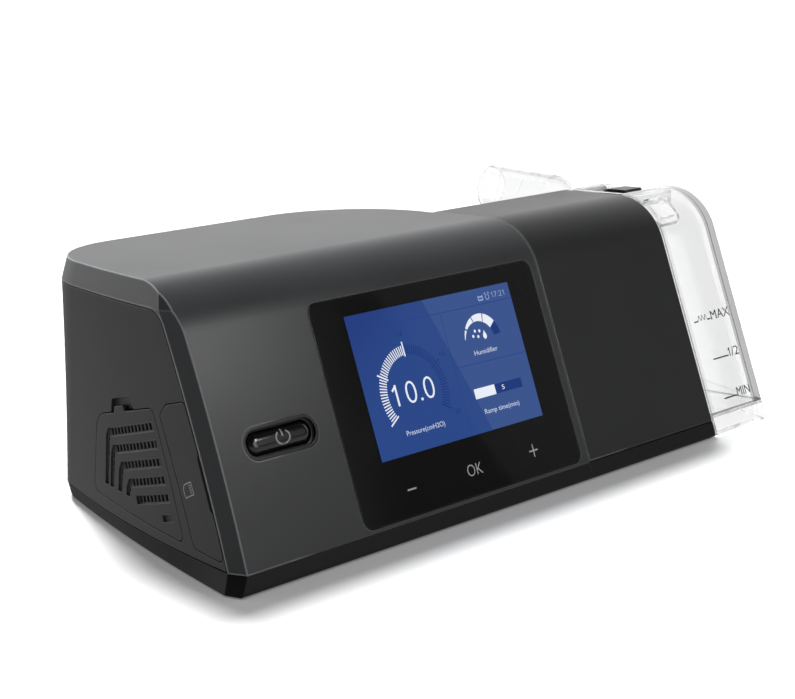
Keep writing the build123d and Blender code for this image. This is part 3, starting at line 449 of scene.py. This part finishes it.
screen = dict(
    x=17.0, y=22.8, width=93.6, height=56.2,        # lower left corner and size on the glass
    back=0.02, front=0.05, glow=1.0,                # how far the picture and its marks stand off
    leftBlue=tint("2a4787"), leftDeep=tint("233a7c"), paintedGlareBlue=tint("38528b"), line=tint("243f88"),
    white=tint("e8edf6"), ink=tint("193679"), captions=tint("ccd6ee"), status=tint("93a3d0"),
    # the split is where the painted glare begins: right of it the blue is painted paler
    split=((40.12, 62.97), (70.44, -21.06)),        # line where the lighter half begins
    rules=((0, 49.9, 93.6, 49.6, 0.3), (50.6, 49.4, 50.6, 0.6, 0.3), (50.9, 27.2, 93.3, 26.9, 0.3)))


def onScreen(points):
    return onFace(points + [screen["x"], screen["y"], 0])


def screenPicture(name, colour, body=None):
    # emission of one colour under a clear glossy cover, with the faint grid of the pixels
    r = recipe(name)
    here = r.here()
    x, y = r.along(here, tuple(faceRight)), r.along(here, tuple(faceUp))
    grid = (x * (2 * pi / 0.0003)).sum("SINE") * (y * (2 * pi / 0.0003)).sum("SINE")
    shown = body(r, here) if body else colour[:3]
    lit = r.node("ShaderNodeVectorMath", dict(operation="SCALE"), {0: shown, "Scale": 1 + grid * 0.02})
    return r.finish(r.node("ShaderNodeBsdfPrincipled", {}, {
        "Base Color": tint("050506"), "Roughness": 0.06 + (r.noise(here, 55, 3) - 0.5) * 0.04,
        "Emission Color": lit, "Emission Strength": screen["glow"]}))


def wallpaper(r, here):
    # left of the split a blue that deepens towards the upper left; right of it a paler one, a painted glare:
    # the screen's colour lightened where a reflection crosses the glass
    a, b = [onScreen(np.array([[*end, 0.0]]))[0] for end in screen["split"]]
    run = (b - a) / np.linalg.norm(b - a)
    across = np.cross(faceOut, run)
    across *= np.sign(across[0])
    past = r.along(here, tuple(across)) - float(across @ a)
    corner = onScreen(np.array([[0.0, screen["height"], 0.0]]))[0]
    slope = faceRight * 0.6 - faceUp * 0.8          # down from the upper left corner
    deep = 1 - r.between(r.along(here, tuple(slope)) - float(slope @ corner), 0.0, 0.035)
    left = r.blend(deep * 0.8, screen["leftBlue"], screen["leftDeep"])
    return r.blend(r.between(past, -0.0004, 0.0004), left, screen["paintedGlareBlue"])


# what is shown; a row of writing is text, left, right, foot, height of capitals, thinning,
# and a row of ones is left, foot, height, line
writing = dict(
    white=(("0.0", 21.3, 37.0, 18.4, 8.8, -0.014),),
    captions=(("Pressure(cmH2O)", 16.2, 37.5, 6.9, 1.9, -0.004),
              ("Humidifier", 63.9, 77.7, 30.2, 1.9, -0.004),
              ("Ramp time(min)", 61.1, 81.8, 6.8, 1.9, -0.004)),
    status=(("7:2", 83.9, 88.6, 51.3, 2.3, -0.01),))
ones = dict(white=((14.4, 18.6, 8.3, 0.95),), status=((82.4, 51.3, 2.3, 0.26), (89.4, 51.3, 2.3, 0.26)))


def addWriting(marks):
    for key, rows in ones.items():
        marks[key] += [figureOne(*row, 0, screen["front"]) for row in rows]
    for key, rows in writing.items():
        marks[key] += [lettering(*row[:5], 0, screen["front"], row[5]) for row in rows]


dial = dict(middle=(26.3, 22.5), start=212.0, step=60.5, steps=4, litSteps=2, ticks=16,
            inner=14.6, outer=18.4, wide=0.5, longInner=14.0, longOuter=19.8, longWide=0.625, darkWide=0.9,
            numbers={2: "12", 3: "16", 4: "20"}, numberRing=23.0, numberHigh=1.9, numberDrop=0.9,
            digitHalf=0.75)


def addDial(marks):
    # pressure gauge: ticks fanned clockwise, start - k * step / ticks degrees round the middle,
    # each step with a long one; white up to the reading and dark after it
    k = np.arange(dial["steps"] * dial["ticks"] + 1)
    angle = np.radians(dial["start"] - k * dial["step"] / dial["ticks"])
    ray, middle = np.c_[np.cos(angle), np.sin(angle)], np.array(dial["middle"])
    longOne = k % dial["ticks"] == 0
    inner = middle + ray * np.where(longOne, dial["longInner"], dial["inner"])[:, None]
    outer = middle + ray * np.where(longOne, dial["longOuter"], dial["outer"])[:, None]
    wide = np.where(longOne, dial["longWide"], dial["wide"])
    lit = k <= dial["litSteps"] * dial["ticks"]
    marks["white"].append(strokes(inner[lit], outer[lit], wide[lit], 0, screen["front"]))
    dark = wide[~lit] * dial["darkWide"]
    marks["ink"].append(strokes(inner[~lit], outer[~lit], dark, 0, screen["front"]))
    for n, text in dial["numbers"].items():
        x, y = middle + dial["numberRing"] * ray[n * dial["ticks"]]
        half, foot = dial["digitHalf"] * len(text), y - dial["numberDrop"]
        marks["ink"].append(lettering(text, x - half, x + half, foot, dial["numberHigh"], 0, screen["front"]))


humidity = dict(
    middle=(71.3, 35.6), outer=10.7,                # each band: start, stop, thickness at both
    bands=((172, 150, 0.25, 1.0), (146, 115, 1.1, 2.3), (112, 77, 2.4, 3.4), (74, 38, 3.5, 3.9)),
    darkBands=((36, 7, 3.9, 4.1),),
    dots=((67.4, 39.7), (70.0, 39.4), (65.8, 37.8), (68.6, 37.3)), dot=0.62,
    dropX=72.5, dropFoot=35.7, dropHigh=3.7, dropHalf=1.45)


def addHumidity(marks):
    # a fan of bands that widens clockwise, four dots and a water drop
    middle, front = np.array(humidity["middle"]), screen["front"]
    for key, rows in (("white", humidity["bands"]), ("ink", humidity["darkBands"])):
        for start, stop, *thick in rows:
            inner = humidity["outer"] - np.linspace(*thick, 9)
            marks[key].append(ribbon(circle(middle, humidity["outer"], start, stop, 9),
                                     circle(middle, inner, start, stop, 9), 0, front))
    for dot in humidity["dots"]:
        top, foot = circle(dot, humidity["dot"], 180, 0, 9), circle(dot, humidity["dot"], 180, 360, 9)
        marks["white"].append(ribbon(top[1:-1], foot[1:-1], 0, front))
    # the drop's half width at t of its height is dropHalf * sin(pi t) ^ 0.75 * (1.15 - t)
    t = np.linspace(0.02, 0.98, 12)
    half = humidity["dropHalf"] * np.sin(pi * t) ** 0.75 * (1.15 - t)
    rise = humidity["dropFoot"] + humidity["dropHigh"] * t
    marks["white"].append(ribbon(np.c_[humidity["dropX"] - half, rise],
                                 np.c_[humidity["dropX"] + half, rise], 0, front))


# rows of start x, start y, end x, end y, width
ramp = dict(done=((58.0, 15.35, 70.2, 15.35, 4.0),), toGo=((70.2, 15.35, 86.4, 15.35, 3.9),),
            minutes=("5", 74.3, 75.8, 14.5, 1.8), over=0.01)
signs = dict(bed=((74.2, 52.6, 76.9, 52.6, 0.6), (74.2, 51.3, 76.9, 51.3, 0.6),
                  (76.9, 51.2, 76.9, 53.2, 0.4), (74.3, 51.2, 74.3, 53.2, 0.4)),
             alarm=(79.7, 52.1), alarmOut=1.25, alarmIn=0.9,
             bells=((78.2, 53.4, 79.0, 53.9, 0.4), (81.2, 53.4, 80.4, 53.9, 0.4)))


def addBarAndSigns(marks):
    front = screen["front"]
    marks["white"] += [bars(ramp["done"], 0, front), lettering(*ramp["minutes"], 0, front + ramp["over"])]
    marks["ink"].append(bars(ramp["toGo"], 0, front))
    alarm = [circle(signs["alarm"], signs[key], 100, 440, 24) for key in ("alarmOut", "alarmIn")]
    marks["status"] += [bars(signs["bed"], 0, front), ribbon(*alarm, 0, front),
                        bars(signs["bells"], 0, front)]


def screenPieces():
    wide, high, back = screen["width"], screen["height"], screen["back"]
    piece("screen_panel", [strokes([0, high / 2], [wide, high / 2], high, -0.2, back)], onScreen,
          screenPicture("screen_blue", None, wallpaper), "main")
    piece("screen_rules", [bars(screen["rules"], 0, back + 0.01)], onScreen,
          screenPicture("screen_rule", screen["line"]), "main")
    marks = dict(white=[], ink=[], captions=[], status=[])
    for add in (addDial, addWriting, addHumidity, addBarAndSigns):
        add(marks)
    for key, shapes in marks.items():
        look = screenPicture("screen_" + key + "_look", screen[key])
        piece("screen_" + key, shapes, onScreen, look, "main")


screenPieces()
print("screen picture laid on the glass")


def printedInk(name, colour):
    # screen-printed ink, with a slightly uneven film
    r = recipe(name)
    film = r.noise(r.here(), 700, 3)
    return r.finish(r.node("ShaderNodeBsdfPrincipled", {}, {
        "Base Color": r.blend(film, colour, toned(colour, 1.15)), "Roughness": 0.4 + (film - 0.5) * 0.15,
        "Normal": r.bump(film, 0.1, 0.00002)}))


keys = dict(colour=tint("e6e6e6"), proud=0.04, minus=(11.4, -12.7), minusArm=2.35, plus=(82.6, -12.6),
            plusArm=2.55, line=0.6, word=("OK", 42.7, 51.3, -15.0, 4.6), thin=-0.012)


def keyMarks():
    # the plus is one bar across and two short ones that meet it
    (x, y), (u, v), a, b = keys["minus"], keys["plus"], keys["minusArm"], keys["plusArm"]
    line, edge = keys["line"], keys["line"] / 2
    shapes = [bars([(x - a, y, x + a, y, line), (u - b, v, u + b, v, line),
                    (u, v - b, u, v - edge, line), (u, v + edge, u, v + b, line)], 0, keys["proud"]),
              lettering(*keys["word"], 0, keys["proud"], keys["thin"])]
    piece("key_marks", shapes, onScreen, printedInk("key_print", keys["colour"]), "main")


keyMarks()

power = dict(x=-26.8, y=41.75, wide=3.55, tall=2.8, line=0.62, gap=34, proud=0.04, colour=tint("b9b9b9"),
             barX=-0.1, barStations=(0.35, 1.2, 2.2, 3.0), halfHeight=4.2, crown=3.4)


def powerMark():
    # a broken ring and a bar, laid over the rounded cap: past the flat middle the cap falls
    # away as crown - sqrt(crown^2 - d^2)
    a = np.radians(np.linspace(90 + power["gap"], 450 - power["gap"], 48))
    ring = np.c_[np.cos(a), np.sin(a)]
    size, line = np.array([power["wide"], power["tall"]]), power["line"]
    bar = np.array([[power["barX"], rise] for rise in power["barStations"]])
    shapes = [ribbon(ring * size, ring * (size - line), 0, power["proud"]),
              ribbon(bar - [line / 2, 0], bar + [line / 2, 0], 0, power["proud"])]

    def onCap(points):
        d = np.clip(np.abs(points[:, 1]) - (power["halfHeight"] - power["crown"]), 0, power["crown"])
        fall = power["crown"] - np.sqrt(power["crown"] ** 2 - d ** 2)
        return onFace(points + np.c_[np.full(len(d), power["x"]), np.full(len(d), power["y"]), -fall])

    piece("power_mark", shapes, onCap, printedInk("power_print", power["colour"]), "button")


powerMark()

# a row is word, line's left and right end, rise, word's right end, in mm from the front's
# lower left corner
levels = dict(proud=0.04, line=0.6, high=4.1, drop=0.7, gap=0.4, thin=-0.001, colour=tint("0c0c0d"),
              waves=3, waveFrom=0.24, waveTo=0.8, waveHigh=2.5, oneLine=0.55, oneWide=2.1,
              marks=(("MAX", 280.3, 293.0, 52.3, 307.9), ("1/2", 286.8, 298.8, 34.0, 307.2),
                     ("MIN", 287.2, 297.2, 15.6, 307.7)))


def levelMarks():
    # a line and a word for each water level; the top line has waves of waveHigh * (1 - |2 s - 1|)
    # between waveFrom and waveTo of its length
    shapes, t = [], np.linspace(0, 1, 60)
    glassX, glassUp = face["glassAt"]
    s = levels["waves"] * np.clip((t - levels["waveFrom"]) / (levels["waveTo"] - levels["waveFrom"]), 0, 1)
    crest = levels["waveHigh"] * (1 - np.abs(2 * np.mod(s, 1) - 1))
    for word, start, end, rise, far in levels["marks"]:
        x, y = start + (end - start) * t - glassX, rise - glassUp + (crest if word == "MAX" else 0 * t)
        shapes.append(ribbon(np.c_[x, y - levels["line"] / 2], np.c_[x, y + levels["line"] / 2],
                             0, levels["proud"]))
        left, foot = end + levels["gap"] - glassX, rise - glassUp - levels["drop"]
        if word == "1/2":
            shapes.append(figureOne(left, foot, levels["high"], levels["oneLine"], 0, levels["proud"]))
            word, left = "/2", left + levels["oneWide"]
        shapes.append(lettering(word, left, far - glassX, foot, levels["high"], 0, levels["proud"],
                                levels["thin"]))
    piece("level_marks", shapes, onFace, printedInk("level_print", levels["colour"]), "tank")


levelMarks()

card = dict(y=32.8, z=32.3, turn=24.0, long=6.6, high=4.6, cut=1.4, line=0.45, proud=0.03,
            contacts=4, contactStep=0.85, contactFoot=1.0, contactFrom=2.2, contactTo=0.9, contactLine=0.38,
            colour=tint("a8a8a8"))


def cardSign():
    # outline of a card with one cut corner and its contacts, flat on the door's local plane
    footLine = faceCorner[1] - face["glassAt"][1] / 1000 * sin(face["lean"])
    start = Vector((cadLow.x - 0.05, footLine + card["y"] / 1000, card["z"] / 1000))
    hit, at, normal, _ = nodes["card_door"].ray_cast(start, Vector((1, 0, 0)))
    print("card sign on the door:", hit)
    out = np.array(normal)
    up = np.array([0, 0, 1.0]) - out * out[2]
    up /= np.linalg.norm(up)
    right = np.cross(up, out)
    a = radians(card["turn"])
    right, up = right * cos(a) + up * sin(a), up * cos(a) - right * sin(a)
    x, y, cut = card["long"] / 2, card["high"] / 2, card["cut"]
    outline = np.array([[-x, -y], [x, -y], [x, y], [-x + cut, y], [-x, y - cut]])
    rise = card["contactFoot"] - y + card["contactStep"] * np.arange(card["contacts"])
    starts, ends = [np.c_[np.full(len(rise), x - card[key]), rise] for key in ("contactFrom", "contactTo")]
    shapes = [strokes(outline, np.roll(outline, -1, axis=0), card["line"], 0, card["proud"]),
              strokes(starts, ends, card["contactLine"], 0, card["proud"])]

    def onDoor(points):
        return np.array(at) + (points[:, :1] * right + points[:, 1:2] * up + points[:, 2:] * out) / 1000

    piece("card_sign", shapes, onDoor, printedInk("card_print", card["colour"]), "card_flap")


cardSign()
print("printed marks done")


# ---- stage, lights and camera

cameraSet = dict(fromCorner=(-0.47288, -0.47682, 0.20941), yaw=45.89, down=11.88, roll=-1.44,
                 lens=86.58, sensor=36.0)


def placeCamera():
    yaw, down, roll = (radians(cameraSet[k]) for k in ("yaw", "down", "roll"))
    ahead = Vector((sin(yaw) * cos(down), cos(yaw) * cos(down), -sin(down)))
    side = Vector((cos(yaw), -sin(yaw), 0))
    top = side.cross(ahead)
    side, top = side * cos(roll) + top * sin(roll), top * cos(roll) - side * sin(roll)
    lens = bpy.data.cameras.new("camera")
    lens.lens, lens.sensor_width = cameraSet["lens"], cameraSet["sensor"]
    lens.clip_start, lens.clip_end = 0.01, 50
    camera = bpy.data.objects.new("camera", lens)
    turn = Matrix((side, top, -ahead)).transposed().to_4x4()
    camera.matrix_world = Matrix.Translation(Vector(faceCorner) + Vector(cameraSet["fromCorner"])) @ turn
    scene.collection.objects.link(camera)
    scene.camera = camera


placeCamera()

room = dict(ambient=0.27, back=1.45, front=0.04, overhead=0.06, backTowards=(0.5, 0.866, 0.0),
            backFade=(0.05, 0.6), overheadFade=(0.36, 0.8),
            lamp=dict(towards=(0.294, -0.904, 0.309), power=1.8, rim=27, core=10),
            sky=dict(towards=(0.19, 0.49, 0.85), power=4.2, spread=12),
            floor=dict(reach=4.0, shade=1.0, bounce=0.4, own=0.1, mirrored=0.4, through=1.0))


def buildWorld():
    # camera rays and clear parts see plain white; reflections see a room that is white behind
    # the object up to eye level, dark overhead and in front, with a soft lamp off to the front;
    # other rays get an even ambient light
    world = bpy.data.worlds.new("room")
    scene.world = world
    r = Recipe(world)
    path = lambda name: r.node("ShaderNodeLightPath", output=name)
    towards = r.node("ShaderNodeTexCoord", output="Generated")
    y, z = r.along(towards, room["backTowards"]), r.along(towards, (0, 0, 1))
    behind = r.between(y, *room["backFade"], room["front"], room["back"])
    level = behind * r.between(z, *room["overheadFade"], 1.0, room["overhead"])
    lamp = room["lamp"]
    facing = r.along(towards, lamp["towards"])
    level = level + r.between(facing, cos(radians(lamp["rim"])), cos(radians(lamp["core"])), 0, lamp["power"])
    plain = path("Is Camera Ray").sum("MAXIMUM", path("Is Transmission Ray"))
    mirrored = path("Is Glossy Ray") * (1 - plain)
    strength = plain + mirrored * level + (1 - plain) * (1 - mirrored) * room["ambient"]
    light = r.node("ShaderNodeBackground", {}, {"Color": (1, 1, 1, 1), "Strength": strength})
    r.node("ShaderNodeOutputWorld", {}, {"Surface": light})


def addSun(name, look):
    lamp = bpy.data.lights.new(name, "SUN")
    lamp.energy, lamp.angle = look["power"], radians(look["spread"])
    owner = bpy.data.objects.new(name, lamp)
    owner.rotation_mode = "QUATERNION"
    owner.rotation_quaternion = Vector(look["towards"]).to_track_quat("Z", "Y")
    owner.visible_glossy = False
    scene.collection.objects.link(owner)


def buildFloor():
    # a plain white disc, fanned out from its middle
    reach, count = room["floor"]["reach"], 64
    a = np.linspace(0, 2 * pi, count, endpoint=False)
    points = np.r_[[[0, 0, 0]], np.c_[np.cos(a), np.sin(a), 0 * a] * reach]
    faces = [[0, 1 + k, 1 + (k + 1) % count] for k in range(count)]
    mesh = bpy.data.meshes.new("floor")
    mesh.from_pydata(points.tolist(), [], faces)
    r = recipe("floor_white")
    dust = r.noise(r.here(), 40, 3)
    path = lambda name: r.node("ShaderNodeLightPath", output=name)
    # paper white to the camera with a little light of its own, so only the deep part of the
    # shadow shows; a duller grey to the light that bounces off it onto the machine
    seen, bounce = [(k, k, k, 1) for k in (room["floor"]["shade"], room["floor"]["bounce"])]
    colour = r.blend(path("Is Camera Ray"), bounce, seen)
    matt = r.node("ShaderNodeBsdfDiffuse", {}, {"Color": r.blend(dust * 0.01, colour, (0, 0, 0, 1))})
    own = r.node("ShaderNodeEmission", {}, {"Strength": path("Is Camera Ray") * room["floor"]["own"]})
    matt = r.node("ShaderNodeAddShader", {}, (matt, own))
    dim = r.node("ShaderNodeEmission", {}, {"Strength": room["floor"]["mirrored"]})
    bright = r.node("ShaderNodeEmission", {}, {"Strength": room["floor"]["through"]})
    shown = r.node("ShaderNodeMixShader", {}, (path("Is Glossy Ray"), matt, dim))
    shown = r.node("ShaderNodeMixShader", {}, (path("Is Transmission Ray"), shown, bright))
    mesh.materials.append(r.finish(shown))
    floor = bpy.data.objects.new("floor", mesh)
    scene.collection.objects.link(floor)


# corners in mm on the front, from the glass's lower left corner
panels = dict(dim_panel=dict(power=0.13, away=0.9,
                             corners=((23.5, 106.8), (95.0, -19.3), (255.0, -19.3), (183.5, 106.8))),
              lamp_panel=dict(power=7.0, away=0.2,
                              corners=((-95, 62), (-95, 118), (-35, 118), (-35, 62))))


def reflectedPanel(name, look):
    # a panel ahead of the machine that only reflections see, its mirror image in the flat front
    # covering the given corners: rays from the camera's mirror image through them, cut by a plane
    eye = faceCorner + np.array(cameraSet["fromCorner"])
    image = eye - 2 * ((eye - faceCorner) @ faceOut) * faceOut
    rays = onFace(np.array([[*corner, 0.0] for corner in look["corners"]])) - image
    middle = rays.mean(0) / np.linalg.norm(rays.mean(0))
    start = (rays.mean(0) @ middle) + look["away"]
    points = image + rays * (start / (rays @ middle))[:, None]
    mesh = bpy.data.meshes.new(name)
    mesh.from_pydata(points.tolist(), [], [[0, 1, 2, 3]])
    r = recipe(name)
    mesh.materials.append(r.finish(r.node("ShaderNodeEmission", {}, {"Strength": look["power"]})))
    panel = bpy.data.objects.new(name, mesh)
    panel.visible_camera = panel.visible_diffuse = panel.visible_shadow = panel.visible_transmission = False
    scene.collection.objects.link(panel)


buildWorld()
addSun("sky_light", room["sky"])
buildFloor()
for name, look in panels.items():
    reflectedPanel(name, look)
scene.view_settings.view_transform = "Standard"
print("stage, lights and camera placed")
